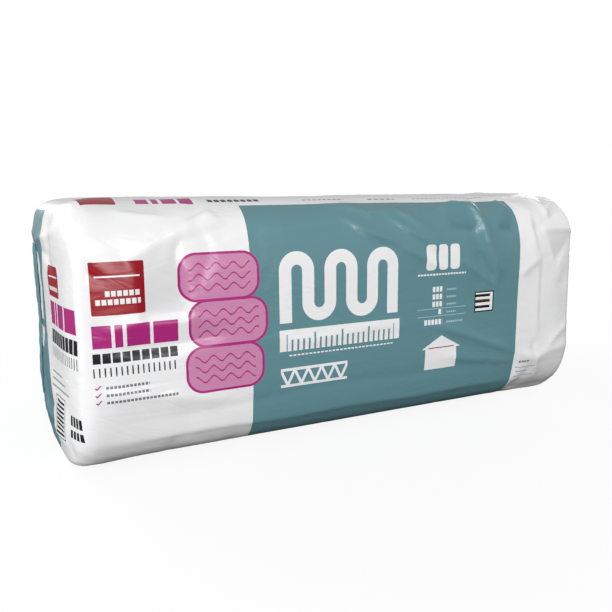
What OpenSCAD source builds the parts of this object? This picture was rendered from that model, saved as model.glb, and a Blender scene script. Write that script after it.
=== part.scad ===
// Bagged bundle of kraft-faced fibreglass insulation batts, lying flat.
// Eight batts are pressed into one stack, each with its kraft facing underneath,
// and a polyethylene film bag is drawn tight round the stack and sealed at both ends.
// Frame: +X along the batts, -Y is the printed front, +Z up, origin under the middle of the bag.

/* [Batts] */
// Length of one batt
batt_len = 1219; // [900:1:1600]
// Width of one batt
batt_w = 610; // [500:1:760]
// Number of batts in the stack
batt_count = 8; // [5:1:12]
// Thickness of the glass wool of one batt, as squeezed in the bag
batt_t = 63.5; // [50:0.5:80]
// Thickness of the kraft facing glued to each batt
facing_t = 0.5; // [0.3:0.1:1.5]

/* [Film bag] */
// Thickness of the film wall
film_t = 1.5; // [1:0.1:3]
// Gap between the stack and the film
film_gap = 0.3; // [0.2:0.1:1]
// Slack film along the front and back, beyond the batts
side_slack = 3; // [0:0.5:12]
// Slack film at the furthest point of each end, beyond the batts
end_slack = 23; // [0:1:40]
// Slack film over the top of the stack
top_slack = 0.5; // [0:0.5:10]
// Rise of the top film towards its middle
top_crown = 1; // [1:0.5:15]

/* [Bulging ends] */
// How far the left end bulges beyond its upright corners
left_crown = 54; // [5:1:80]
// How far the right end bulges beyond its upright corners
right_crown = 30; // [5:1:80]
// How far the left end's furthest point lies towards the back
crown_shift = 80; // [0:5:150]
// Rounding of the bag's upright corners
corner_r = 25; // [15:1:50]

/* [Rounded edges] */
// Rounding of the ends' upper edges, measured along the bag
end_top = 55; // [20:1:80]
// Rounding of the ends' lower edges, measured along the bag
end_bottom = 14; // [10:1:80]
// Rounding of the long edges, measured across the bag
edge_y = 117; // [60:1:150]
// Rounding of the long upper edges, measured in height
edge_top = 106; // [60:1:150]
// Rounding of the long lower edges, measured in height
edge_bottom = 124; // [60:1:150]

/* [End seals] */
// Width of the sealed strip that lies folded flat on each end
fin_w = 36; // [20:1:60]
// Layers of film in the folded strip
fin_layers = 2; // [1:1:4]
// Distance from the seal's ends to the flat top and bottom of the bag
fin_margin = 92; // [60:1:130]

/* [Hidden] */

white_film = [0.93, 0.93, 0.94];
rose_wool = [0.90, 0.66, 0.72];
kraft_brown = [0.68, 0.52, 0.36];

// One batt with its facing, and the whole stack
pitch = batt_t + facing_t;
stack_h = batt_count * pitch;

// The bag's outer surface: half sizes to its edges, and its height without the crown
bag_x = batt_len / 2 + film_gap + film_t + end_slack;
bag_y = batt_w / 2 + film_gap + film_t + side_slack;
bag_z = stack_h + 2 * (film_gap + film_t) + top_slack;

// The stack stands on the film's floor
stack_z = film_t + film_gap;

// Edges turn through these angles; the first one is where the flat bottom or top begins
edge_angles = [8, 22, 36, 50, 64, 77, 90];
flat_angle = edge_angles[0];
corner_steps = 4;
side_steps = 6;
end_steps = 6;
// An end falls away from its furthest point to the corners along a curve of this power
crown_power = 1.8;
// The top rises in rings of these shares of its flat outline
crown_rings = [0.75, 0.5, 0.25];

fin_t = fin_layers * film_t;
fin_step = 1.5;
fin_low = fin_margin;
fin_high = bag_z - fin_margin;

function flatten(lists) = [for (l = lists) for (v = l) v];
function reversed(list) = [for (i = [len(list) - 1:-1:0]) list[i]];

// Height gained on an edge of radius r when it has turned to an angle
function lift(angle, r) = r * (1 - cos(angle) / cos(flat_angle));

// Levels of the rounded edges as [height, share of the corner in use], on the surface `inset` inside the bag
function bottom_levels(inset) = [for (a = edge_angles) [inset + lift(a, edge_bottom - inset), sin(a)]];
function top_levels(inset) =
    [for (a = reversed(edge_angles)) [bag_z - inset - lift(a, edge_top - inset), sin(a)]];

// How far an end lies back from its furthest point, at a distance y from the middle of the bag
function draw_in(side, y) =
    let (peak = side < 0 ? crown_shift : 0, run = y < peak ? bag_y + peak : bag_y - peak)
    (side < 0 ? left_crown : right_crown) * pow(abs(y - peak) / run, crown_power);

// Points across one end, from the front to the back, as [y, lies on the folded seal]
function end_points(y) = concat(
    [for (k = [1:end_steps - 1]) [-y + k * y / end_steps, false]],
    [[0, false], [fin_step, true], [fin_w, true], [fin_w + fin_step, false]],
    [for (k = [1:end_steps - 1]) [fin_w + k * (y - fin_w) / end_steps, false]]
);

// One quarter of an upright corner: side is left or right, way is front or back
function corner(side, way, x, y, r) =
    let (middle = x - draw_in(side, way * y) - r)
    [for (k = [0:corner_steps]) let (a = k * 90 / corner_steps)
        [side * (middle + r * cos(a)), way * (y + r * sin(a))]];

// One end from the front to the back, without its corners
function end_face(side, x, y, on_seal) =
    [for (p = end_points(y)) [side * (x - draw_in(side, p[0]) + (on_seal && p[1] ? fin_t : 0)), p[0]]];

// Points between two others along one long side
function between(from, to) = [for (k = [1:side_steps - 1]) from + k * (to - from) / side_steps];

// One level of the bag, counter-clockwise from the front of the right end.
// share is the part in use of the rounded edges' width, folded adds the seals.
function outline(z, share, inset, folded) =
    let (edge_x = z > bag_z / 2 ? end_top : end_bottom,
         x = bag_x - edge_x + (edge_x - inset) * share,
         y = bag_y - edge_y + (edge_y - inset) * share - (corner_r - inset),
         r = corner_r - inset,
         on_seal = folded && z >= fin_low && z <= fin_high,
         right_back = corner(1, 1, x, y, r), left_back = reversed(corner(-1, 1, x, y, r)),
         left_front = corner(-1, -1, x, y, r), right_front = reversed(corner(1, -1, x, y, r)))
    concat(
        end_face(1, x, y, on_seal),
        right_back,
        between(right_back[corner_steps], left_back[0]),
        left_back,
        reversed(end_face(-1, x, y, on_seal)),
        left_front,
        between(left_front[corner_steps], right_front[0]),
        right_front
    );

function level(points, z) = [for (p = points) [p[0], p[1], z]];

// Skin through levels that all have as many points, closed by a fan round a middle point at each end
module loft(levels) {
    n = len(levels[0]);
    last = len(levels) - 1;
    low = [0, 0, levels[0][0][2]];
    high = [0, 0, levels[last][0][2]];
    polyhedron(
        points = concat(flatten(levels), [low, high]),
        faces = flatten([for (i = [0:n - 1])
            let (j = (i + 1) % n)
            concat(
                [[i, j, (last + 1) * n], [last * n + j, last * n + i, (last + 1) * n + 1]],
                [for (l = [0:last - 1]) [l * n + j, l * n + i, (l + 1) * n + i]],
                [for (l = [0:last - 1]) [l * n + j, (l + 1) * n + i, (l + 1) * n + j]]
            )]),
        convexity = 4
    );
}

// The film's skin at a distance inside the bag's outer surface
module skin(inset, folded) {
    middle = [for (z = [fin_low - fin_step, fin_low, bag_z / 2, fin_high, fin_high + fin_step])
        if (z > edge_bottom && z < bag_z - edge_top) [z, 1]];
    levels = concat(bottom_levels(inset), middle, top_levels(inset));
    flat_top = outline(bag_z - inset, sin(flat_angle), inset, false);
    loft(concat(
        [for (s = levels) level(outline(s[0], s[1], inset, folded), s[0])],
        [for (t = crown_rings) level(t * flat_top, bag_z - inset + top_crown * (1 - t * t))]
    ));
}

// The polyethylene bag: one closed skin of film, with its seals folded flat on the ends
module film_bag() {
    color(white_film)
    difference() {
        skin(0, true);
        skin(film_t, false);
    }
}

// A slice of the stack between two heights, rounded as the bag squeezes it
module slice(low, high, steps) {
    inset = film_t + film_gap;
    levels = concat(bottom_levels(inset), top_levels(inset));
    narrowing = batt_w / 2 / (bag_y - inset);
    end = batt_len / 2;
    loft([for (k = [0:steps]) let (z = low + (high - low) * k / steps)
        [for (p = outline(z, lookup(z, levels), inset, false))
            [max(-end, min(end, p[0])), p[1] * narrowing, z]]]);
}

// Glass wool of one batt, counted from the bottom of the stack
module batt(i) {
    low = stack_z + (i - 1) * pitch + facing_t;
    color(rose_wool) slice(low, low + batt_t, 3);
}

// Kraft facing under one batt
module kraft_facing(i) {
    low = stack_z + (i - 1) * pitch;
    color(kraft_brown) slice(low, low + facing_t, 1);
}

film_bag();
for (i = [1:batt_count]) {
    batt(i);
    kraft_facing(i);
}
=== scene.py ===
# %% [markdown]
# # A printed film bag full of insulation batts
# The object is a sealed polyethylene bag, a little over 1.2 m long, that squeezes a stack of
# kraft-faced glass wool batts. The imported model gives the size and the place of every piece; this
# lesson dresses it: a wrinkled skin of film, its print, its seals, and the wool and paper inside.

import math
from functools import partialmethod
import bpy
import numpy as np
from mathutils import Matrix, Vector


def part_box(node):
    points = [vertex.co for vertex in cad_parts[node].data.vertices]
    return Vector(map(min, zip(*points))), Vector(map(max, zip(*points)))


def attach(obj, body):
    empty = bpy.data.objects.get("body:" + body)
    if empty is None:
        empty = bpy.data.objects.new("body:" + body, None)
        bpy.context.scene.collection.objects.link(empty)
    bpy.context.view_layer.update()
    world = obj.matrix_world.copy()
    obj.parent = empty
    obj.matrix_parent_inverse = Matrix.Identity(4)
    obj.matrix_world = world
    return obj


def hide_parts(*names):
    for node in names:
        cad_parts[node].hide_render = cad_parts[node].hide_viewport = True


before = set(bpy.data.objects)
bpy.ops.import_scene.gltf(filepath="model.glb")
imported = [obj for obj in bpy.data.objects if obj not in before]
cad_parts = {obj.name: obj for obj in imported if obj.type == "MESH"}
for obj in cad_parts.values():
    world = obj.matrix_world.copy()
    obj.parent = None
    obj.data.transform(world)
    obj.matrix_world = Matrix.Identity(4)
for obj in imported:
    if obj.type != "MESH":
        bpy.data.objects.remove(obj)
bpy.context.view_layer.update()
scene = bpy.context.scene
print("packed nodes:", sorted(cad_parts))

# %% [markdown]
# ## The camera
# A camera is easiest to place by hand when its aim is written as three turns: how far it looks
# round to the right, how far down, and how far it leans. The picture is square, and a sensor of
# 36 mm with a 35.7 mm lens sees it at about 53 degrees.

# %% Camera
EYE = Vector((-0.6343, -1.4252, 0.5242))
YAW, PITCH, ROLL = math.radians(24.21), math.radians(10.45), math.radians(-0.53)

look = Vector((math.sin(YAW) * math.cos(PITCH), math.cos(YAW) * math.cos(PITCH), -math.sin(PITCH)))
level_right = Vector((math.cos(YAW), -math.sin(YAW), 0))
level_up = level_right.cross(look)
right = math.cos(ROLL) * level_right + math.sin(ROLL) * level_up
up = math.cos(ROLL) * level_up - math.sin(ROLL) * level_right

bpy.ops.object.camera_add()
camera = bpy.context.object
camera.matrix_world = Matrix.Translation(EYE) @ Matrix((right, up, -look)).transposed().to_4x4()
camera.data.sensor_width = 36
camera.data.lens = 35.69
scene.camera = camera
scene.view_settings.view_transform = "Standard"
print("camera at", [round(v, 3) for v in EYE])

# %% [markdown]
# ## Writing shaders as sums
# A print on film is a long list of shapes, and each shape is a little arithmetic on the film's own
# coordinates. Wiring that by hand is slow and hard to read, so one small class wraps a socket: a
# plus or a times sign between two of them adds the Math node that does it. Every other node comes
# from `node`, which takes its type, its settings and what goes into its sockets.

# %% A class that turns sums into nodes
class Value:
    """One socket of a shader, on which Python's own signs add Math nodes."""

    def __init__(self, paint, socket):
        self.paint, self.socket = paint, socket

    def math(self, operation, *others):
        """A Math node that starts from this socket."""
        return self.paint.node("ShaderNodeMath", {"operation": operation}, dict(enumerate((self, *others))))

    def __rsub__(self, other):
        return self.paint.number("SUBTRACT", other, self)

    # Each sign or word adds the Math node that is named with it
    __add__ = __radd__ = partialmethod(math, "ADD")
    __sub__ = partialmethod(math, "SUBTRACT")
    __mul__ = __rmul__ = partialmethod(math, "MULTIPLY")
    __truediv__ = partialmethod(math, "DIVIDE")
    __mod__ = partialmethod(math, "FLOORED_MODULO")
    __lt__ = partialmethod(math, "LESS_THAN")
    __gt__ = partialmethod(math, "GREATER_THAN")
    __abs__ = partialmethod(math, "ABSOLUTE")
    root = partialmethod(math, "SQRT")
    sine = partialmethod(math, "SINE")
    least = partialmethod(math, "MINIMUM")
    most = partialmethod(math, "MAXIMUM")


class Paint:
    """A new material, or the world that is given, and the nodes that are added to it."""

    def __init__(self, name, world=None):
        self.owner = world or bpy.data.materials.new(name)
        self.owner.use_nodes = True
        self.tree = self.owner.node_tree
        self.tree.nodes.clear()

    def node(self, kind, settings=None, inputs=None, output=0):
        """A node of any type, with its settings and what goes into its sockets."""
        made = self.tree.nodes.new(kind)
        for key, value in (settings or {}).items():
            if key == "stops":
                for i, (place, shade) in enumerate(value):
                    stop = made.color_ramp.elements[i] if i < 2 else made.color_ramp.elements.new(place)
                    stop.position, stop.color = place, (*shade, 1)
            else:
                setattr(made, key, value)
        for key, value in (inputs or {}).items():
            if isinstance(value, Value):
                self.tree.links.new(value.socket, made.inputs[key])
            else:
                made.inputs[key].default_value = value
        return Value(self, made.outputs[output])

    def number(self, operation, first, second):
        """A Math node that starts from a plain number."""
        return self.node("ShaderNodeMath", {"operation": operation}, {0: first, 1: second})

    def blend(self, mask, under, over):
        """Colour `over` where the mask is 1, colour `under` where it is 0."""
        under, over = ((*c, 1) if isinstance(c, tuple) else c for c in (under, over))
        return self.node("ShaderNodeMix", {"data_type": "RGBA"}, {0: mask, 6: under, 7: over}, output=2)

    def finish(self, shader, kind="ShaderNodeOutputMaterial"):
        """Joins the last shader to an output."""
        out = self.tree.nodes.new(kind)
        self.tree.links.new(shader.socket, out.inputs["Surface"])
        return self.owner


def linear(red, green, blue):
    """A colour as an eyedropper gives it, 0 to 255, turned into the numbers that light adds up in."""
    return tuple((v / 255 / 12.92) if v < 11 else ((v / 255 + 0.055) / 1.055) ** 2.4
                 for v in (red, green, blue))


print("a middle grey of 128 is", round(linear(128, 128, 128)[0], 3), "in light")

# %% [markdown]
# ## Floor, backdrop and light
# The bag stands on a pale floor before white. A floor that is only painted white never renders
# quite white, so where the camera looks straight at it, part of its colour is given as plain
# white, and the rest still takes the bag's soft shadow. To the light itself the floor is dark
# grey, so that little of it comes back up to the bag's lower edge.

# %% Floor
FLOOR_SIZE = 14
PLAIN_WHITE = (1, 1, 1, 1)
PAPER_SEEN, PAPER_LIT = (0.95, 0.95, 0.95), (0.10, 0.10, 0.10)
# The share of plain white near the bag, and from how far out it grows to all
WHITE_SHARE, WHITE_FROM = 0.90, 0.8

bpy.ops.object.select_all(action="DESELECT")
bpy.ops.mesh.primitive_plane_add(size=FLOOR_SIZE)
floor = bpy.context.object
floor.name = "floor"

paint = Paint("pale_floor")
seen = paint.node("ShaderNodeLightPath", output=0)
spot = paint.node("ShaderNodeTexCoord", output=3)
far = paint.node("ShaderNodeVectorMath", {"operation": "LENGTH"}, {0: spot}, output=1)
cover = (WHITE_SHARE + (1 - WHITE_SHARE) * (far - WHITE_FROM).most(0.0).least(1.0)) * seen
paper = paint.node("ShaderNodeBsdfDiffuse", inputs={"Color": paint.blend(seen, PAPER_LIT, PAPER_SEEN)})
white = paint.node("ShaderNodeEmission", inputs={"Color": PLAIN_WHITE, "Strength": 1.0})
mixed = paint.node("ShaderNodeMixShader", inputs={0: cover, 1: paper, 2: white})
floor.data.materials.append(paint.finish(mixed))
print("floor:", FLOOR_SIZE, "m wide")

# %% World
WORLD_LIGHT = 0.38

scene.world = bpy.data.worlds.new("studio")
paint = Paint("studio", scene.world)
seen = paint.node("ShaderNodeLightPath", output=0)
dim, plain = (paint.node("ShaderNodeBackground", inputs={"Color": PLAIN_WHITE, "Strength": strength})
              for strength in (WORLD_LIGHT, 1.0))
mixed = paint.node("ShaderNodeMixShader", inputs={0: seen, 1: dim, 2: plain})
paint.finish(mixed, "ShaderNodeOutputWorld")
print("world strength", WORLD_LIGHT, "to the bag, 1 to the camera")

# %% [markdown]
# Five soft boxes light the bag: a wide one high in front, a flatter one below it whose sheen glides
# over the film, a low one on the left, one high behind on the left, and one past the right end.
# The front is bright and even, folds throw gentle shade, and the lower edge, which faces the
# floor, is darker.

# %% Lamps
def soft_box(name, place, aim, size, watts):
    """An area lamp at a place, turned towards a point."""
    bpy.ops.object.light_add(type="AREA", location=place)
    lamp = bpy.context.object
    lamp.name = name
    lamp.data.shape = "RECTANGLE"
    lamp.data.size, lamp.data.size_y = size
    lamp.data.energy = watts
    lamp.rotation_euler = (Vector(aim) - Vector(place)).to_track_quat("-Z", "Y").to_euler()


LEFT, MIDDLE, RIGHT = (-0.4, 0, 0.25), (0, 0, 0.25), (0.4, 0, 0.25)
soft_box("key_light", (-1.0, -4.2, 2.6), MIDDLE, (2.4, 1.6), 95)
soft_box("low_light", (-0.6, -4.2, 0.5), MIDDLE, (2.2, 0.8), 44)
soft_box("side_light", (-3.4, -0.3, 0.5), LEFT, (1.6, 0.9), 47)
soft_box("back_light", (-2.4, 3.6, 2.2), MIDDLE, (2.2, 1.4), 90)
soft_box("end_light", (3.6, 1.8, 0.8), RIGHT, (1.6, 1.6), 55)

# %% [markdown]
# ## The bag's shape
# A full bag is a box that has been blown up a little: its long edges are wide soft rolls, its
# upright corners are tight, and its ends bulge. It could be sculpted, but a box with an even grid
# on it is easier to steer: each point of the grid is moved by a rule that knows where the rolls
# and the bulges are. The box itself is made as by hand, one cube whose edges are subdivided.

# %% A cube with a grid on it
CUBE_SIZE = 2
CELLS = (100, 45, 40)


def pick_edges(mesh_object, axis):
    """Selects the edges that run along one axis from side to side."""
    bpy.ops.object.mode_set(mode="OBJECT")
    mesh = mesh_object.data
    for edge in mesh.edges:
        a, b = (mesh.vertices[i].co for i in edge.vertices)
        edge.select = abs((a - b)[axis]) > 0.95 * CUBE_SIZE
    bpy.ops.object.mode_set(mode="EDIT")


def cube_grid(name, cells):
    """A cube whose edges are cut into an even grid of so many cells each way."""
    bpy.ops.object.select_all(action="DESELECT")
    bpy.ops.mesh.primitive_cube_add(size=CUBE_SIZE)
    made = bpy.context.object
    made.name = name
    bpy.ops.object.mode_set(mode="EDIT")
    bpy.context.tool_settings.mesh_select_mode = (False, True, False)
    for axis, count in enumerate(cells):
        if count > 1:
            bpy.ops.mesh.select_all(action="DESELECT")
            pick_edges(made, axis)
            bpy.ops.mesh.subdivide(number_cuts=count - 1)
    bpy.ops.object.mode_set(mode="OBJECT")
    return made


film = cube_grid("film_skin", CELLS)
print("grid on the cube:", len(film.data.polygons), "faces")


def vectors_of(data, name="vector"):
    """What a mesh holds for its points, with one vector in each row."""
    values = np.empty(len(data) * 3)
    data.foreach_get(name, values)
    return values.reshape(-1, 3)


def points_of(mesh_object):
    """The places of a mesh's points."""
    return vectors_of(mesh_object.data.vertices, "co")


def move_points(mesh_object, co):
    """Puts a mesh's points in new places."""
    mesh_object.data.vertices.foreach_set("co", np.ascontiguousarray(co).ravel())
    mesh_object.data.update()


# %% [markdown]
# The grid's own place on the cube, from -1 to 1 along each axis, is kept as an attribute. It
# survives subdivision, and later it tells every point where it lies on the unrolled film.

# %% Keep the grid's place on the cube
cube = points_of(film)
film.data.attributes.new("cube", "FLOAT_VECTOR", "POINT").data.foreach_set("vector", cube.ravel())
print("points on the grid:", len(cube))

# %% [markdown]
# The rule works in a cross-section first. A point's distance from the middle line, as a share,
# picks how far it is from the rim; its direction finds a point on the rim, a box with rounded long
# edges. Then the two ends are laid over that section, furthest out near the middle, drawn in at
# the corners, and rounded over the rim.

# %% The bag's measures
# Half the width and the whole height in metres, and how far the rolls reach in from each side
BAG_Y, BAG_Z = 0.310, 0.517
ROLL_Y, ROLL_TOP, ROLL_LOW = 0.117, 0.106, 0.124
# The power of the rolls' curve: 2 is an ellipse, more is squarer
ROUND, SQUARE_LOW = 2.0, 2.25
# How much the cube's grid crowds towards the rim
CROWD = 1.4

# The left end is -1 and the right end is 1. An end's furthest point, and how it draws in away
# from one height and below another
REACH = {-1: 0.634, 1: 0.637}
LEAN, LEAN_FROM = {-1: 0.016, 1: 0.026}, 0.125
TUCK, TUCK_BELOW = {-1: 0.0, 1: 0.11}, 0.135
# How far it bulges, where across the width its furthest point is, and how round the bulge is
CROWN = {-1: 0.055, 1: 0.016}
PEAK = {-1: 0.26, 1: 0.0}
BULGE, LEFT_HEIGHTS, LEFT_BULGES = 2.0, (0.06, 0.28), (2.3, 1.5)
# The rounding of its upright corners, its top edge and its lower edge
CORNER = {-1: (0.025, 0.042, 0.015), 1: (0.014, 0.028, 0.030)}
# Right of this place the front slants back a little
FACET_X, FACET_SLOPE = 0.497, 0.06
print("bag:", 2 * BAG_Y, "m wide and", BAG_Z, "m high, with ends at", REACH)

# %% The rule that blows the box up
def rim(y, z):
    """The nearest point of the rounded section's edge, and which way that edge faces.

    The weight of the stack presses the lower rolls a little squarer than an ellipse."""
    cy = np.clip(y, ROLL_Y - BAG_Y, BAG_Y - ROLL_Y)
    cz = np.clip(z, ROLL_LOW, BAG_Z - ROLL_TOP)
    rz = np.where(z > cz, ROLL_TOP, ROLL_LOW)
    ny, nz = (y - cy) / ROLL_Y, (z - cz) / rz
    power = np.where(z < cz, SQUARE_LOW, ROUND)
    size = np.maximum((abs(ny) ** power + abs(nz) ** power) ** (1 / power), 1e-9)
    ny, nz = ny / size, nz / size
    return cy + ROLL_Y * ny, cz + rz * nz, ny, nz


def end_reach(side, y, z):
    """How far one end bulges at a height and a distance from the middle."""
    t, peak = np.clip(y / BAG_Y, -1, 1), PEAK[side]
    far = np.where(t < peak, (peak - t) / (1 + peak), (t - peak) / (1 - peak))
    power = np.where(t < peak, np.interp(z, LEFT_HEIGHTS, LEFT_BULGES), BULGE) if side < 0 else BULGE
    return (REACH[side] - LEAN[side] * abs(z - LEAN_FROM) - TUCK[side] * np.maximum(TUCK_BELOW - z, 0)
            - CROWN[side] * far ** power)


def blow_up(place):
    """Where the bag's skin is, for places on the cube."""
    qx, qy, qz = place.T
    rho = np.maximum(np.maximum(abs(qy), abs(qz)), 1e-9)
    ry, rz, ny, nz = rim(qy / rho * BAG_Y, BAG_Z / 2 * (1 + qz / rho))
    share = 1 - (1 - rho) ** CROWD
    y, z = share * ry, BAG_Z / 2 + share * (rz - BAG_Z / 2)
    inside = (1 - share) * np.hypot(ry, rz - BAG_Z / 2)
    ends = []
    for side in (-1, 1):
        upright, top, low = CORNER[side]
        r = upright * ny ** 2 + np.where(nz > 0, top, low) * nz ** 2
        k = np.clip(1 - inside / r, 0, 1)
        ends.append(side * (end_reach(side, y, z) - r * (1 - np.sqrt(1 - k ** 2))))
    x = ends[0] + (ends[1] - ends[0]) * (qx + 1) / 2
    y = y + FACET_SLOPE * np.maximum(x - FACET_X, 0) * np.clip(-ny, 0, 1) * share
    return np.stack([x, y, z], -1)


move_points(film, blow_up(cube))
print("blown up:", [round(float(v), 3) for v in np.ptp(points_of(film), axis=0)])

# %% [markdown]
# ## Wrinkles from a cloth simulation
# Film that is drawn round something soft is full of small tensions. The bag is run for a few
# frames as cloth, a touch larger than the stack and under a little pressure, as a full bag is.
# Only the wrinkles are wanted, not the swelling: the smooth part of the movement is taken off
# again, and what is left is limited, so that the bag keeps its measured shape.

# %% Cloth
def mm(metres):
    """A length in millimetres, for printing."""
    return round(float(metres) * 1000, 1)


def neighbours_mean(mesh_object, values, rounds):
    """Smooths one value, or one vector, per point by averaging it with its neighbours."""
    ends = np.empty(len(mesh_object.data.edges) * 2, np.int32)
    mesh_object.data.edges.foreach_get("vertices", ends)
    a, b = ends.reshape(-1, 2).T
    count = np.bincount(a, minlength=len(values)) + np.bincount(b, minlength=len(values))
    for _ in range(rounds):
        total = np.stack([np.bincount(a, v[b], len(v)) + np.bincount(b, v[a], len(v)) for v in values.T], -1)
        values = 0.5 * values + 0.5 * total / count[:, None]
    return values


def wrinkle(mesh_object, frames=20, limit=0.006):
    """Runs the bag as cloth and returns how far its wrinkles move each point in or out.

    What slides along the film is left out, so that the print on it stays straight."""
    rest = points_of(mesh_object)
    facing = vectors_of(mesh_object.data.vertex_normals)
    bpy.ops.object.select_all(action="DESELECT")
    mesh_object.select_set(True)
    bpy.context.view_layer.objects.active = mesh_object
    cloth = mesh_object.modifiers.new("cloth", "CLOTH")
    cloth.settings.quality = 4
    cloth.settings.mass = 0.1
    cloth.settings.tension_stiffness = cloth.settings.compression_stiffness = 30
    cloth.settings.shear_stiffness = 15
    cloth.settings.bending_stiffness = 0.6
    cloth.settings.use_pressure = True
    cloth.settings.uniform_pressure_force = 4
    cloth.settings.shrink_min = -0.025
    cloth.settings.effector_weights.gravity = 0
    cloth.collision_settings.use_collision = False
    cloth.point_cache.frame_end = frames
    for number in range(1, frames + 1):
        scene.frame_set(number)
    bpy.ops.object.modifier_apply(modifier="cloth")
    scene.frame_set(1)
    moved = points_of(mesh_object) - rest
    print("cloth moved at most", mm(np.linalg.norm(moved, axis=1).max()), "mm")
    fine = moved - neighbours_mean(mesh_object, moved, 40)
    size = np.linalg.norm(fine, axis=1, keepdims=True)
    fine = fine * (limit * np.tanh(size / limit) / np.maximum(size, 1e-9))
    return facing * (fine * facing).sum(1, keepdims=True)


# Round the rims of the ends, beyond these places on the cube, the film is tight. The wrinkles
# there are weaker by this share
END_TIGHT, RIM_TIGHT, WEAKER = 0.93, 0.75, 0.6

folds = wrinkle(film)
at_end = np.clip((abs(cube[:, 0]) - END_TIGHT) / (1 - END_TIGHT), 0, 1)
out = np.maximum(abs(cube[:, 1]), abs(cube[:, 2]))
at_rim = np.clip((out - RIM_TIGHT) / (1 - RIM_TIGHT), 0, 1)
folds = folds * (1 - WEAKER * (at_end * at_rim)[:, None])
move_points(film, blow_up(cube) + folds)
print("wrinkles up to", mm(np.linalg.norm(folds, axis=1).max()), "mm")

# %% Subdivide once
bpy.ops.object.select_all(action="DESELECT")
film.select_set(True)
bpy.context.view_layer.objects.active = film
finer = film.modifiers.new("finer", "SUBSURF")
finer.levels = finer.render_levels = 1
bpy.ops.object.modifier_apply(modifier="finer")
bpy.ops.object.shade_smooth()
print("film:", len(film.data.polygons), "faces")

# %% [markdown]
# ## The film unrolled
# Print follows the film, not the room. Unrolled, the bag's sleeve is one flat sheet: its width
# runs along the bag, and its height runs up the front, over the top and down the back. Two maps
# are kept: `film`, in metres, for the print, and one that fits the square which stores a texture.

# %% Where each point lies on the unrolled film
cube = vectors_of(film.data.attributes["cube"].data)

# A walk round the cube's section in eight stretches, from the middle of the underside up the front
walk = np.linspace(0, 8, 4001)
corners = np.array([[0, -1], [-1, -1], [-1, 0], [-1, 1], [0, 1], [1, 1], [1, 0], [1, -1], [0, -1]])
ring = np.stack([np.interp(walk, range(9), corners[:, i]) for i in (0, 1)], -1)
ring_y, ring_z, _, _ = rim(ring[:, 0] * BAG_Y, BAG_Z / 2 * (1 + ring[:, 1]))
length = np.concatenate([[0], np.cumsum(np.hypot(np.diff(ring_y), np.diff(ring_z)))])
length -= np.interp(2, walk, length) - BAG_Z / 2
V_LOW, V_TOP, V_HIGH = length[0], float(np.interp(4, walk, length)), length[-1]
print("round the sleeve:", round(V_HIGH - V_LOW, 3), "m; middle of the top at", round(V_TOP, 3))


def round_sleeve(qy, qz):
    """Distance up the film from the front's lower edge, for points on the sleeve."""
    angle = np.select([qz <= -1 + 1e-6, qy <= -1 + 1e-6, qz >= 1 - 1e-6, qy >= 1 - 1e-6],
                      [np.where(qy > 0, 8 - qy, -qy), 2 + qz, 4 + qy, 6 - qz], np.nan)
    return np.interp(angle, walk, length)


# %% [markdown]
# ## Creases and facets
# The simulation gives the small unrest, but a tight bag also has a few long creases that a camera
# notices first. They are drawn on the unrolled film, as a tailor marks folds with chalk. A ridge or
# a groove follows a line and fades faster on one side than on the other; a facet is a patch that
# tilts. Both move points along the film's normal, by a few millimetres. Film is thin, and its folds
# are sharper than this mesh, so each tool also adds up how steep its fold really is, and the
# shader tilts the normal by that.

# %% Tools for creases
# An end's own width begins this far out on the crease map, beyond the sleeve's
END_FROM = 0.60
# How much of a crease's slope the shading adds, and how high a crease is for its number
SHARPER, HIGHER = 0.9, 1.2
# At both ends it thins out over this share of its length, down to this share of its height
THIN_OVER, THIN_TO = 0.22, 0.15
# Its top is blunt over this many metres
BLUNT = 0.008

on_end = np.where(np.maximum(abs(cube[:, 1]), abs(cube[:, 2])) < 1 - 1e-6, np.sign(cube[:, 0]), 0)
skin = points_of(film)
flat_u = np.where(on_end == 0, skin[:, 0], on_end * (END_FROM + skin[:, 1] + BAG_Y))
flat_v = np.where(on_end == 0, round_sleeve(cube[:, 1], cube[:, 2]), skin[:, 2])
rise = np.zeros(len(skin))
steep = np.zeros((len(skin), 2))


def crease(line, height, above, below):
    """A ridge, or with a negative height a groove, along a line of points given in millimetres.

    It fades over `above` millimetres on the left of the line as it is walked, and over `below`
    on the right."""
    line = np.array(line) / 1000
    best = np.full(len(skin), 9.0)
    side, gone = np.zeros(len(skin)), np.zeros(len(skin))
    away = np.zeros((len(skin), 2))
    steps = np.hypot(*np.diff(line, axis=0).T)
    for i, step in enumerate(steps):
        a, d = line[i], (line[i + 1] - line[i]) / step
        du, dv = flat_u - a[0], flat_v - a[1]
        t = np.clip(du * d[0] + dv * d[1], 0, step)
        across = np.stack([du - t * d[0], dv - t * d[1]], -1)
        off = np.maximum(np.hypot(*across.T), 1e-6)
        near = off < best
        best[near] = off[near]
        away[near] = (across / off[:, None])[near]
        side[near] = (d[0] * dv - d[1] * du)[near]
        gone[near] = (steps[:i].sum() + t)[near]
    width = np.where(side > 0, above, below) / 1000
    fade = np.clip(np.minimum(gone, steps.sum() - gone) / (THIN_OVER * steps.sum()), 0, 1)
    bump = height / 1000 * np.exp(-best / width) * (THIN_TO + (1 - THIN_TO) * fade)
    rise[:] += HIGHER * bump
    steep[:] -= SHARPER * (bump / width * np.minimum(best / BLUNT, 1))[:, None] * away


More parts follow.
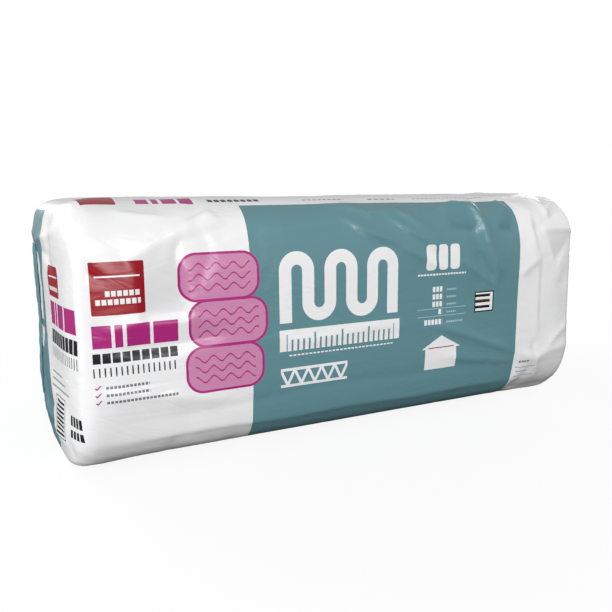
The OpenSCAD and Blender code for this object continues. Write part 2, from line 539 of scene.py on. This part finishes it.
def facet(corners, tilt, soft=7, sharp=1.7):
    """A patch that leans: tilt is its slope to the right and upwards.

    Its edge is soft for so many millimetres each way; sharp is how much more its shading leans."""
    corners = np.array(corners) / 1000
    edge, inside = np.full(len(skin), 9.0), np.zeros(len(skin), bool)
    for a, b in zip(corners, np.roll(corners, -1, 0)):
        d, du, dv = b - a, flat_u - a[0], flat_v - a[1]
        t = np.clip((du * d[0] + dv * d[1]) / (d @ d), 0, 1)
        edge = np.minimum(edge, np.hypot(du - t * d[0], dv - t * d[1]))
        cross = (a[1] > flat_v) != (b[1] > flat_v)
        inside ^= cross & (flat_u < a[0] + d[0] * (flat_v - a[1]) / (d[1] if abs(d[1]) > 1e-9 else 1e-9))
    mask = np.clip(0.5 + np.where(inside, edge, -edge) / (2 * soft / 1000), 0, 1)
    mask = mask * mask * (3 - 2 * mask)
    centre = corners.mean(0)
    rise[:] += mask * (tilt[0] * (flat_u - centre[0]) + tilt[1] * (flat_v - centre[1]))
    steep[:] += SHARPER * mask[:, None] * np.array(tilt) * sharp


def tell(place):
    """Prints how many points move by over 1 mm so far."""
    print(place, "done:", (abs(rise) > 0.001).sum(), "points move")


print("points to crease:", len(skin))

# %% Creases right of the panel
crease([(480, 500), (476, 454), (471, 435), (479, 409), (497, 368)], 3.0, 10, 24)
crease([(484, 470), (482, 440), (488, 409), (502, 372)], -2.2, 5, 6)
crease([(497, 372), (497, 287), (501, 185), (492, 160)], 2.0, 7, 22)
crease([(504, 372), (504, 287), (507, 185)], -1.8, 3, 6)
crease([(436, 327), (465, 347), (497, 368)], 3.4, 25, 9)
crease([(480, 476), (490, 456), (498, 443), (522, 456), (569, 478)], -3.0, 12, 9)
crease([(510, 545), (527, 530), (531, 491), (531, 458)], 3.4, 14, 10)
crease([(500, 442), (545, 441), (600, 435), (628, 438)], 2.8, 12, 9)
facet([(504, 441), (610, 434), (553, 350)], (-0.03, 0.12))
facet([(531, 491), (531, 462), (569, 478), (600, 500), (560, 530)], (-0.07, 0.07))
crease([(439, 138), (483, 118), (504, 114), (542, 127), (600, 136), (632, 132)], 3.0, 18, 12)
crease([(492, 162), (489, 140), (504, 114)], -2.2, 6, 6)
crease([(504, 114), (506, 91), (518, 57)], 2.0, 8, 8)
crease([(620, 195), (566, 164), (532, 134)], 2.8, 8, 12)
facet([(445, 136), (504, 112), (610, 134), (610, 10), (440, 10)], (-0.01, 0.05), soft=12)
tell("right of the panel")

# %% Creases on the panel
crease([(-74, 521), (-18, 512), (31, 491), (100, 496), (130, 475), (166, 449), (205, 418)], 5.2, 22, 11)
crease([(66, 485), (106, 456), (164, 420), (205, 392)], 4.8, 14, 9)
crease([(-36, 478), (11, 449), (52, 433), (95, 418)], 4.4, 18, 10)
crease([(91, 414), (172, 373), (222, 348)], 3.8, 14, 10)
facet([(222, 508), (272, 530), (317, 510), (328, 458), (300, 434), (237, 443)], (0.0, 0.14),
      soft=8, sharp=2.8)
crease([(272, 530), (317, 510), (328, 458), (338, 416), (368, 343), (359, 306)], 4.8, 12, 16)
crease([(300, 402), (326, 362), (357, 312)], -4.2, 6, 9)
crease([(255, 372), (313, 334), (357, 309)], 3.4, 14, 7)
crease([(177, 228), (245, 207), (336, 172), (440, 134)], 4.0, 18, 9)
crease([(206, 153), (280, 138), (422, 114)], 3.2, 16, 9)
facet([(402, 533), (388, 485), (366, 437), (412, 431), (424, 490)], (-0.05, 0.13), sharp=2.8)
crease([(-240, 470), (-150, 462), (-40, 474), (30, 462)], 2.6, 26, 14)
crease([(-230, 236), (-120, 226), (40, 240), (150, 228)], 2.0, 26, 14)
tell("panel")

# %% Creases along the lower roll
crease([(-590, 108), (-400, 104), (-240, 112), (-80, 124), (100, 118), (265, 121), (420, 116)],
       -1.8, 22, 26)
crease([(-610, 66), (-500, 60), (-350, 66), (-180, 60), (-20, 65), (150, 59), (300, 64), (420, 60),
        (540, 52)], 3.0, 24, 13)
tell("lower roll")

# %% Creases left of the panel
facet([(-318, 508), (-296, 474), (-376, 446), (-394, 424), (-391, 396), (-380, 370), (-378, 300),
       (-455, 300), (-470, 395), (-482, 418), (-419, 453)], (-0.03, 0.10), soft=10)
crease([(-378, 452), (-394, 424), (-391, 396), (-380, 368)], -2.6, 4, 14)
crease([(-522, 248), (-450, 243), (-395, 246), (-356, 252), (-300, 256)], -3.6, 34, 8)
crease([(-545, 280), (-447, 295), (-383, 297), (-300, 290)], 2.4, 14, 26)
crease([(-500, 512), (-455, 500), (-400, 494)], 2.8, 12, 18)
crease([(-578, 165), (-492, 159), (-380, 140), (-280, 123)], 2.6, 22, 22)
crease([(-600, 430), (-560, 395), (-520, 372)], -2.4, 12, 16)
tell("left of the panel")

# %% Creases on the back and the top
def back(u, z):
    """A point of the back at a height, as a place on the unrolled film."""
    return u, 2000 * V_TOP - z


for height, line in (
        (3.4, [(520, 448), (380, 420), (240, 372), (170, 330)]),
        (3.0, [(560, 196), (430, 158), (250, 140)]),
        (3.6, [(-560, 462), (-400, 440), (-270, 392)]),
        (2.8, [(-300, 124), (-120, 98), (120, 108)]),
        (3.0, [(-90, 486), (60, 452), (200, 470)]),
        (-2.8, [(-570, 292), (-450, 258), (-350, 250)]),
        (3.0, [(330, 300), (440, 262), (570, 282)]),
        (-2.6, [(-200, 380), (-60, 402), (40, 396)]),
        (2.6, [(486, 410), (492, 300), (484, 180)]),
        (-2.6, [(-500, 200), (-380, 176), (-280, 186)])):
    crease([back(u, z) for u, z in line], height, 12, 20)
facet([back(-520, 372), back(-380, 322), back(-300, 470), back(-470, 512)], (0.03, -0.07))
facet([back(240, 430), back(330, 508), back(430, 500), back(400, 420)], (-0.03, -0.07))
for height, line in (
        (2.8, [(-480, 690), (-300, 756), (-120, 742)]),
        (2.6, [(120, 850), (300, 796), (470, 828)]),
        (-2.6, [(-560, 884), (-420, 850), (-320, 862)]),
        (2.6, [(390, 664), (520, 704), (600, 694)]),
        (-2.4, [(-90, 920), (60, 896), (200, 926)]),
        (2.4, [(-30, 660), (110, 690), (260, 684)])):
    crease(line, height, 16, 16)
tell("back and top")

# %% [markdown]
# The two ends are closed by an upright seal. From its upper and lower end the film is tucked
# towards the four corners, and short gathers run from the seal to both sides.

# %% Creases on the ends
for side in (-1, 1):
    def at(y, z):
        """A point of one end, y from its middle, as a place on the unrolled film."""
        return side * (1000 * (END_FROM + BAG_Y) + y), z

    for level, way in ((432, 1), (86, -1)):
        for height, wide, line in (
                (3.6, 12, [(14, 0), (-120, 16), (-236, 34)]),
                (3.6, 12, [(26, 0), (140, 14), (244, 30)]),
                (-2.6, 10, [(-60, -12), (-150, -26), (-205, -62)]),
                (-2.6, 10, [(96, -12), (180, -30), (226, -70)]),
                (2.4, 8, [(16, 4), (10, 40)])):
            crease([at(y, level + way * beyond) for y, beyond in line], height, wide, wide)
    for k, z in enumerate(range(126, 410, 41)):
        out = 46 + 22 * (k * 5 % 4)
        crease([at(-4, z), at(-out, z + 9 * (k % 3 - 1))], 1.1 - 2.2 * (k % 2), 9, 9)
        crease([at(42, z + 17), at(46 + out, z + 17 - 8 * (k % 3 - 1))], -1.1 + 2.2 * (k % 2), 9, 9)
    crease([at(-2, 96), at(-3, 250), at(-2, 424)], -2.2, 6, 6)
tell("ends")

# %% [markdown]
# Now the points move. They go along normals that are smoothed first, so that a crease only lifts
# the film and doesn't push it sideways under its print.

# %% Move the film
DEEPEST, HIGHEST, STEEPEST = -0.008, 0.009, 0.45

normals = neighbours_mean(film, vectors_of(film.data.vertex_normals), 10)
normals /= np.linalg.norm(normals, axis=1, keepdims=True)
skin = skin + np.clip(rise, DEEPEST, HIGHEST)[:, None] * normals
skin[:, 2] = np.maximum(skin[:, 2], 0.0)
move_points(film, skin)

to_right = np.where(on_end[:, None] == 0, (1.0, 0.0, 0.0), on_end[:, None] * (0.0, 1.0, 0.0))
upwards = np.cross(normals, to_right)
steep = np.clip(steep, -STEEPEST, STEEPEST)
lean = -(steep[:, :1] * to_right + steep[:, 1:] * upwards)
film.data.attributes.new("lean", "FLOAT_VECTOR", "POINT").data.foreach_set("vector", lean.ravel())
print("creases move the film by", mm(max(rise.min(), DEEPEST)), "to", mm(min(rise.max(), HIGHEST)), "mm")

# %% [markdown]
# The two maps are written per corner of each face, because the sleeve and the ends meet along a
# rim where one point has two places on the flat film.

# %% Which part each face's corners belong to
mesh = film.data
loops = np.empty(len(mesh.loops), np.int32)
mesh.loops.foreach_get("vertex_index", loops)
starts = np.empty(len(mesh.polygons), np.int32)
mesh.polygons.foreach_get("loop_start", starts)
face_of_loop = np.repeat(np.arange(len(starts)), np.diff(np.append(starts, len(loops))))
middle = np.stack([np.bincount(face_of_loop, cube[loops, i]) / 4 for i in range(3)], -1)
which = np.select([middle[:, 0] < -1 + 1e-6, middle[:, 0] > 1 - 1e-6], [-1, 1], 0)[face_of_loop]
print("corners on the ends:", int((which != 0).sum()), "of", len(which))

# %% The two maps
# On the print's map an end begins 1 m out, left or right of the sleeve
END_PRINT = 1.0
# On the square that stores a texture: its side, and where the sleeve and the two ends lie on it
SHEET, MARGIN = 2.16, 0.02
SLEEVE_MIDDLE, ENDS_FROM, LEFT_ABOVE = 0.66, 1.35, 0.6

q = cube[loops]
# The sleeve's print is laid out by the rule, the ends' print on the points as they now are
place = np.where(which[:, None] == 0, blow_up(q), skin[loops])
v = round_sleeve(q[:, 1], q[:, 2])
v = np.where((q[:, 2] <= -1 + 1e-6) & (abs(q[:, 1]) < 1e-6),
             np.where(middle[face_of_loop, 1] > 0, V_HIGH, V_LOW), v)
u = place[:, 0]


def add_map(name, across, upward):
    """Writes one map, a place for every corner of every face."""
    flat = np.stack([across, upward], -1).ravel().astype(np.float32)
    mesh.uv_layers.new(name=name).data.foreach_set("uv", flat)


# An end is unrolled from its front corner towards the back
film_u = np.where(which == 0, u, which * (END_PRINT + place[:, 1] + BAG_Y))
add_map("film", film_u, np.where(which == 0, v, place[:, 2]))

bake_u = np.where(which == 0, u + SLEEVE_MIDDLE, ENDS_FROM + place[:, 1] + BAG_Y)
bake_v = np.where(which == 0, v - V_LOW, place[:, 2] + np.where(which < 0, LEFT_ABOVE, 0)) + MARGIN
add_map("OFBake", bake_u / SHEET, bake_v / SHEET)
mesh.uv_layers.active = mesh.uv_layers["OFBake"]
mesh.uv_layers["OFBake"].active_render = True
print("unrolled from", round(float(u.min()), 3), "to", round(float(u.max()), 3), "m, and the sheet to",
      round(float(max(bake_u.max(), bake_v.max()) / SHEET), 3))

# %% [markdown]
# ## The film's print
# First the colours, as an eyedropper would read them. Such bags carry the same print on both broad
# faces, so behind the middle of the top the coordinates are folded over: what reads from left to
# right on the front also does on the back.

# %% Colours
TEAL = linear(100, 143, 151)
WHITE = (0.90, 0.90, 0.91)
MAGENTA = linear(178, 42, 126)
RED = linear(160, 26, 38)
ROSE = linear(208, 138, 178)
INK = linear(30, 30, 34)
GREY = linear(120, 120, 124)
TEAL_PALE = linear(170, 200, 205)
BROWN = linear(120, 84, 60)
print("teal in light:", [round(v, 3) for v in TEAL])

# %% Shapes of the print
paint = Paint("printed_film")
sheet = paint.node("ShaderNodeUVMap", {"uv_map": "film"})
U = paint.node("ShaderNodeSeparateXYZ", inputs={0: sheet})
V = Value(paint, U.socket.node.outputs[1])
behind = V > V_TOP
U = U * (1 - 2 * behind)
V = V_TOP - abs(V - V_TOP)


def block(u0, v0, u1, v1, lean=0.0):
    """A rectangle on the film, in millimetres; a lean slides its top to the right."""
    u0, v0, u1, v1 = (n / 1000 for n in (u0, v0, u1, v1))
    across = U - (u0 + u1) / 2
    if lean:
        across = across - (V - (v0 + v1) / 2) * lean
    return (abs(across) < (u1 - u0) / 2) * (abs(V - (v0 + v1) / 2) < (v1 - v0) / 2)


def pill(u0, v0, u1, v1, r, grow=0.0):
    """A rectangle with rounded corners, optionally grown, in millimetres."""
    across = (abs(U - (u0 + u1) / 2000) - ((u1 - u0) / 2 - r) / 1000).most(0.0)
    upward = (abs(V - (v0 + v1) / 2000) - ((v1 - v0) / 2 - r) / 1000).most(0.0)
    return (across * across + upward * upward) < ((r + grow) / 1000) ** 2


def dashes(u0, v0, u1, v1, pitch, length, start=None):
    """A row of short marks, as many as fit, counted from its left side or from another start."""
    start = u0 if start is None else start
    return block(u0, v0, u1, v1) * (((U - start / 1000) % (pitch / 1000)) < length / 1000)


def rows(v0, pitch, length):
    """Marks that repeat upwards instead."""
    return ((V - v0 / 1000) % (pitch / 1000)) < length / 1000


colour = WHITE


def put(mask, shade):
    """Prints one more shape over what is there."""
    global colour
    colour = paint.blend(mask, colour, shade)


print("above", round(V_TOP, 3), "m the print is folded over")

# %% [markdown]
# The wide panel carries big plain signs: a serpentine, which is how a draughtsman shows batts in
# a wall, a band with a rule's divisions, a lattice girder and three upright slabs.

# %% The panel
put(block(-251, -100, 430, 531), TEAL)


def serpentine(u0, v0, u1, v1, strokes, thick):
    """Upright strokes joined by half circles, turn and turn about, at the top and at the bottom."""
    u0, v0, u1, v1, thick = (n / 1000 for n in (u0, v0, u1, v1, thick))
    step = (u1 - u0 - thick) / (strokes - 1)
    start, r = u0 + thick / 2, step / 2
    low, high = v0 + thick / 2 + r, v1 - thick / 2 - r
    at = U - start
    stroke = abs((at + r) % step - r)
    upper = (at + r) % (2 * step) - 2 * r
    lower = (at + r + step) % (2 * step) - 2 * r
    over, under = V - high, low - V
    cap = abs((upper * upper + over * over).root() - r)
    cup = abs((lower * lower + under * under).root() - r)
    inner = abs(at - (strokes - 1) * step / 2) < (strokes - 3) * step / 2 + thick / 2
    bent = (over > 0.0) * (cap < thick / 2) + (under > 0.0) * (cup < thick / 2) * inner
    straight = (over < 0.0) * ((under < 0.0) + (1 - inner)).least(1.0) * (stroke < thick / 2)
    ends = (abs(at - (strokes - 1) * step / 2) < (strokes - 1) * step / 2 + thick / 2) * (V > v0)
    return ((bent + straight) * ends).least(1.0)


put(serpentine(-192, 267, 87, 412, 6, 27), WHITE)
put(block(-193, 208, 92, 253), WHITE)
put(dashes(-178, 208, 78, 232, 12.8, 4.2, -180), TEAL)
put(dashes(-178, 208, 78, 243, 64, 4.2, -180), TEAL)
put(dashes(-172, 197, 76, 200, 9, 6.5), WHITE)


def struts(u0, v0, u1, v1, bays, thick):
    """One slanting line that goes down and up once in each bay."""
    bay, high = (u1 - u0) / bays / 1000, (v1 - v0) / 1000
    zigzag = abs(((U - u0 / 1000) % bay) / bay * 2 - 1)
    return block(u0, v0, u1, v1) * (abs(V - v0 / 1000 - zigzag * high) < thick / 1000)


put(struts(-191, 136, -37, 168, 5, 6.8), WHITE)
put(block(-191, 131, -37, 137) + block(-191, 166, -37, 172), WHITE)

for k in range(3):
    put(pill(160 + 33 * k, 354, 186 + 33 * k, 411, 8), WHITE)
put(dashes(139, 342, 270, 346, 8, 6), WHITE)
print("with the panel:", len(paint.tree.nodes), "nodes")

# %% Lists, labels and the little house
for v, wide, note in ((304, 27, 26), (287, 27, 26), (270, 27, 26), (252, 10, 26), (229, 48, 46)):
    put(dashes(207 - wide, v, 207, v + 12, 9.5, 7), WHITE)
    put(dashes(219, v + 2, 219 + note, v + 6, 6, 4.5), TEAL_PALE)
put(block(139, 265, 274, 266.4) + block(141, 247.6, 275, 249), TEAL_PALE)

put(block(299, 247, 355, 296), INK)
put(block(302, 250, 352, 293), WHITE)
put(block(302, 250, 344, 293) * rows(256, 13.5, 6.5), INK)
put(block(302, 274, 344, 277), BROWN)

RIDGE_U, RIDGE_V, EAVES_V, ROOF_SLOPE = 0.2075, 0.202, 0.172, 0.56
roof = (V < RIDGE_V - abs(U - RIDGE_U) * ROOF_SLOPE) * (V > EAVES_V)
put(roof + block(164, 122.5, 250, 174), WHITE)
put(block(172, 172.5, 243, 175), MAGENTA)
print("with the lists:", len(paint.tree.nodes), "nodes")

# %% [markdown]
# Left of the panel the print is on white: a dark red tile, a magenta row, black and grey rows,
# and across the panel's edge a stack of three fluffy batts, drawn with wavy fibres.

# %% The white part
put(pill(-549, 314, -454, 410, 3), RED)
put(block(-541, 382, -462, 385), WHITE)
put(dashes(-524, 348, -462, 358, 10.5, 8) + dashes(-541, 333, -462, 343, 10.5, 8), WHITE)
for u, wide in ((-551, 33), (-512, 14), (-491, 42), (-443, 46)):
    put(block(u, 254, u + wide, 296), MAGENTA)
put(dashes(-553, 226, -400, 245, 17.4, 14.2), INK)
put(dashes(-553, 201, -400, 218, 9.7, 2.6), INK)
for v, end in ((178, -455), (164, -455), (150, -403)):
    put(block(-547, v, -544, v + 8, 0.9) + block(-551, v, -548, v + 4, -0.9), MAGENTA)
    put(dashes(-533, v, end, v + 5, 7, 5), GREY)
put(dashes(447, 106, 478, 111, 8, 6) + dashes(440, 92, 500, 94, 7, 5) + dashes(444, 80, 480, 82, 7, 5)
    + dashes(440, 66, 500, 68, 7, 5), GREY)
print("with the white part:", len(paint.tree.nodes), "nodes")

# %% Three fluffy batts
BATT_WIDE, BATT_HIGH, BATT_ROUND, RIM = 150, 84, 30, 5
FIBRE_LONG, FIBRE_HIGH, FIBRE_THICK, FIBRE_SHIFT = 0.034, 0.006, 0.0016, 0.011
for k, (u0, low) in enumerate(((-381, 150), (-372, 240), (-388, 330))):
    box = (u0, low, u0 + BATT_WIDE, low + BATT_HIGH)
    put(pill(*box, BATT_ROUND, RIM), MAGENTA)
    put(pill(*box, BATT_ROUND), ROSE)
    for row in (22, 42, 62):
        wave = ((U + k * FIBRE_SHIFT) * (2 * math.pi / FIBRE_LONG)).sine() * FIBRE_HIGH
        fibre = abs(V - (low + row) / 1000 - wave) < FIBRE_THICK
        put(fibre * block(u0 + 14, low, u0 + BATT_WIDE - 14, low + BATT_HIGH), MAGENTA)
print("with the batts:", len(paint.tree.nodes), "nodes")

# %% [markdown]
# The strip that runs over the top and the panel on the left end repeat the same marks.

# %% Top and left end
put(pill(-569, 541, -486, 625, 3), RED)
for u, wide in ((-449, 24), (-418, 12), (-399, 28), (-365, 27)):
    put(block(u, 545, u + wide, 585), MAGENTA)
put(dashes(-307, 553, -195, 572, 14, 11), INK)
put(dashes(-99, 556, 0, 562, 12, 9) + dashes(60, 552, 130, 560, 16, 11)
    + dashes(180, 556, 386, 560, 12, 9), GREY)

# The teal's edge is upright, slants towards the front below one height, and is upright again
EDGE, EDGE_SHIFT, SLANT_FROM, SLANT_HIGH, TEAL_TOP = -1.232, 0.062, 0.25, 0.12, 0.497
edge = EDGE + EDGE_SHIFT * ((SLANT_FROM - V) / SLANT_HIGH).most(0.0).least(1.0)
put((U < edge) * (V < TEAL_TOP), TEAL)
put(serpentine(-1470, 268, -1262, 410, 4, 27), WHITE)
put(block(-1470, 208, -1262, 250), WHITE)
put(dashes(-1462, 208, -1270, 234, 12.8, 4.2), TEAL)
put(pill(-1168, 334, -1097, 394, 3), RED)
put(dashes(-1160, 346, -1104, 354, 9, 7) + block(-1160, 372, -1104, 374.5), WHITE)
for u, wide in ((-1168, 32), (-1131, 13), (-1112, 40), (-1066, 46)):
    put(block(u, 278, u + wide, 324), MAGENTA)
put(dashes(-1168, 240, -1018, 268, 17, 14) + dashes(-1168, 212, -1018, 234, 9.7, 2.6), INK)
put(dashes(-1166, 180, -1100, 184, 7, 5) + dashes(-1166, 166, -1080, 170, 7, 5)
    + dashes(-1166, 152, -1060, 156, 7, 5), GREY)
put(block(-1142, 58, -1084, 140) - block(-1140, 60, -1086, 138), INK)
put(block(-1136, 64, -1090, 134) * rows(64, 9, 5), INK)
put(dashes(-1056, 100, -1012, 120, 11, 8) + dashes(-1056, 76, -1012, 92, 11, 8), INK)
print("whole print:", len(paint.tree.nodes), "nodes")

# %% [markdown]
# The film itself is smooth and a little glossy, with fine streaks along the bag from the rollers
# that drew it out. Pulled tight, it also shows thin lines of tension, slanting or level, that are
# finer than the mesh. Both are only a breath of relief, so Bump nodes are enough for them.

# %% Gloss
streak = paint.node("ShaderNodeTexNoise", inputs={
    "Vector": paint.node("ShaderNodeMapping", {"vector_type": "POINT"}, {
        "Vector": paint.node("ShaderNodeTexCoord", output=3), "Scale": (6.0, 30.0, 60.0)}),
    "Scale": 1.0, "Detail": 4.0})


def tension(turn, scale, wide):
    """Thin valleys along one direction: where a stretched noise crosses its middle value."""
    turned = paint.node("ShaderNodeMapping", {"vector_type": "TEXTURE"}, {
        "Vector": sheet, "Rotation": (0, 0, math.radians(turn)), "Scale": scale})
    noise = paint.node("ShaderNodeTexNoise", inputs={
        "Vector": turned, "Scale": 1.0, "Detail": 2.0, "Distortion": 0.6})
    return (abs(noise - 0.5) / wide).least(1.0)


folds = tension(-28, (0.30, 0.055, 1), 0.05) + tension(6, (0.34, 0.07, 1), 0.05)
leaning = paint.node("ShaderNodeAttribute", {"attribute_name": "lean"}, output=1)
surface = paint.node("ShaderNodeNewGeometry", output=1)
tilted = paint.node("ShaderNodeVectorMath", {"operation": "NORMALIZE"}, {
    0: paint.node("ShaderNodeVectorMath", {"operation": "ADD"}, {0: surface, 1: leaning})})
relief = paint.node("ShaderNodeBump", inputs={
    "Strength": 0.12, "Distance": 0.0016, "Height": folds, "Normal": tilted})
bump = paint.node("ShaderNodeBump", inputs={
    "Strength": 0.25, "Distance": 0.002, "Height": streak, "Normal": relief})
film_shader = paint.node("ShaderNodeBsdfPrincipled", inputs={
    "Base Color": colour, "Roughness": 0.19 + 0.12 * streak, "IOR": 1.5, "Normal": bump})
film.data.materials.append(paint.finish(film_shader))
print("finish:", film.data.materials[0].name)

# %% Hand the film over
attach(film, "root")
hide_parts("film_bag")
print("film handed over:", len(mesh.polygons), "faces")

# %% [markdown]
# ## The seals
# Where the sleeve is closed, two layers of film are welded into a strip with fine ribs, and the
# strip is folded flat against the end. Each one is a flat grid laid over the end it closes, with
# ribs along it and a free edge that waves a little, and then it gets its thickness.

# %% Seals
SEAL_WIDE, SEAL_LOW, SEAL_HIGH, SEAL_THICK = 0.036, 0.092, 0.425, 0.0008
# How far it stands off the film, and how much more its free edge does
STAND_OFF, FREE_EDGE = 0.0009, 0.0010
RIB_PITCH, RIB_HIGH = 0.0036, 0.0004
# The film under it is followed as an average over this distance
FOLLOW = 0.006


def seal(name, side, plain_u):
    """A welded strip on one end, folded towards the back; plain_u is an unprinted place on the film."""
    bpy.ops.object.select_all(action="DESELECT")
    bpy.ops.mesh.primitive_grid_add(x_subdivisions=60, y_subdivisions=100, size=2)
    strip = bpy.context.object
    strip.name = name
    s, t = ((points_of(strip)[:, i] + 1) / 2 for i in (0, 1))
    y, z = s * SEAL_WIDE, SEAL_LOW + t * (SEAL_HIGH - SEAL_LOW)
    under = skin[(on_end == side) & (abs(skin[:, 1]) < 0.08)]
    near = np.exp(-((y[:, None] - under[:, 1]) ** 2 + (z[:, None] - under[:, 2]) ** 2) / (2 * FOLLOW ** 2))
    edge = FREE_EDGE * s ** 2 * (1.0 + 0.6 * np.sin(t * 23 + side) + 0.4 * np.sin(t * 61))
    ribs = RIB_HIGH * np.sin(y * 2 * math.pi / RIB_PITCH) * (s > 0.1) * (s < 0.9)
    x = near @ under[:, 0] / near.sum(1) + side * (STAND_OFF + edge + ribs)
    move_points(strip, np.stack([x, y, z], -1))
    corners = np.empty(len(strip.data.loops), np.int32)
    strip.data.loops.foreach_get("vertex_index", corners)
    flat = np.stack([plain_u + y, z], -1)[corners]
    strip.data.uv_layers[0].name = "film"
    strip.data.uv_layers[0].data.foreach_set("uv", flat.ravel().astype(np.float32))
    if side > 0:
        bpy.ops.object.mode_set(mode="EDIT")
        bpy.ops.mesh.select_all(action="SELECT")
        bpy.ops.mesh.flip_normals()
        bpy.ops.object.mode_set(mode="OBJECT")
    layers = strip.modifiers.new("layers", "SOLIDIFY")
    layers.thickness, layers.offset = SEAL_THICK, -1
    bpy.ops.object.modifier_apply(modifier="layers")
    bpy.ops.object.shade_smooth_by_angle(angle=math.radians(50))
    strip.data.materials.append(film.data.materials[0])
    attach(strip, "root")
    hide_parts("film_bag")
    print(name, "stands off up to", mm((edge + STAND_OFF).max()), "mm")


seal("seal_left", -1, -1.53)
seal("seal_right", 1, 1.31)

# %% [markdown]
# ## Wool and paper inside
# Glass wool is a felt of fine tinted fibres, and kraft is brown paper with darker pulp in it. Both
# have a grain finer than any mesh, so one function gives each a noise for its colour and relief.

# %% Glass wool and kraft
def grainy(name, scale, detail, dark, pale, strength, deep, rough):
    """A dull material whose grain varies between two colours and stands up a little."""
    paint = Paint(name)
    at = paint.node("ShaderNodeTexCoord", output=3)
    grain = paint.node("ShaderNodeTexNoise", inputs={"Vector": at, "Scale": scale, "Detail": detail})
    colour = paint.node("ShaderNodeValToRGB", {"stops": [(0.3, dark), (0.7, pale)]}, {0: grain})
    bump = paint.node("ShaderNodeBump", inputs={"Strength": strength, "Distance": deep, "Height": grain})
    return paint.finish(paint.node("ShaderNodeBsdfPrincipled", inputs={
        "Base Color": colour, "Roughness": rough, "Normal": bump}))


wool = grainy("glass_wool", 160.0, 6.0, (0.72, 0.38, 0.45), (0.90, 0.62, 0.66), 0.8, 0.004, 0.95)
kraft = grainy("kraft_paper", 300.0, 5.0, (0.35, 0.20, 0.10), (0.52, 0.34, 0.19), 0.3, 0.0005, 0.8)
finishes = {"batt": wool, "kraft": kraft, "film": film.data.materials[0]}
for name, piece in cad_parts.items():
    piece.data.materials.clear()
    piece.data.materials.append(finishes[name.split("_")[0]])
print("finishes:", [finish.name for finish in finishes.values()])

# %% [markdown]
# A batt in the bag is squeezed flat, and its rim follows the bag. So one slab with an even grid is
# made, and its points are put into the bag by the same rule as the film's, a little further in.

# %% Slabs that fill the bag
# How far the slabs stay inside the film, all round and above its floor
SPARE, SPARE_LOW = 0.014, 0.004
# How much further an end draws in at the top, at the bottom and at the corners
IN_TOP, IN_LOW, IN_CORNER = 0.05, 0.012, 0.03
# Half the length of a batt, which no slab passes
BATT_END = 0.6095


def slab(name, low, high, cells):
    """A soft slab between two heights, as wide and as long as the bag leaves it room."""
    made = cube_grid(name, cells)
    q = points_of(made)
    z = SPARE_LOW + (low + (high - low) * (q[:, 2] + 1) / 2) * (BAG_Z - SPARE - SPARE_LOW) / BAG_Z
    up = np.clip((z + SPARE - (BAG_Z - ROLL_TOP)) / ROLL_TOP, 0, 1)
    down = np.clip((ROLL_LOW + SPARE_LOW - z) / ROLL_LOW, 0, 1)
    corner = np.clip((abs(q[:, 1]) - 0.9) / 0.1, 0, 1)
    half = BAG_Y - ROLL_Y * (1 - np.sqrt(np.clip(1 - np.maximum(up, down) ** 2, 0, 1))) - SPARE
    y = q[:, 1] * half
    ends = [side * (end_reach(side, y, z) - SPARE - IN_TOP * up ** 2 - IN_LOW * down ** 2
                    - IN_CORNER * corner ** 2) for side in (-1, 1)]
    x = np.clip(ends[0] + (ends[1] - ends[0]) * (q[:, 0] + 1) / 2, -BATT_END, BATT_END)
    move_points(made, np.stack([x, y, z], -1))
    bpy.ops.object.shade_smooth_by_angle(angle=math.radians(40))
    return made


batts = sorted(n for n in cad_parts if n.startswith("batt"))
for name in batts:
    number = name.split("_")[1]
    for node, finish, slot, cells in ((name, wool, "glass_wool", (60, 28, 4)),
                                      ("kraft_facing_" + number, kraft, "kraft", (60, 28, 1))):
        low, high = (end.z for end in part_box(node))
        made = slab(node + "_dressed", low, high, cells)
        made.data.materials.append(finish)
        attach(made, "root")
        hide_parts(node)
print("batts dressed:", len(batts))
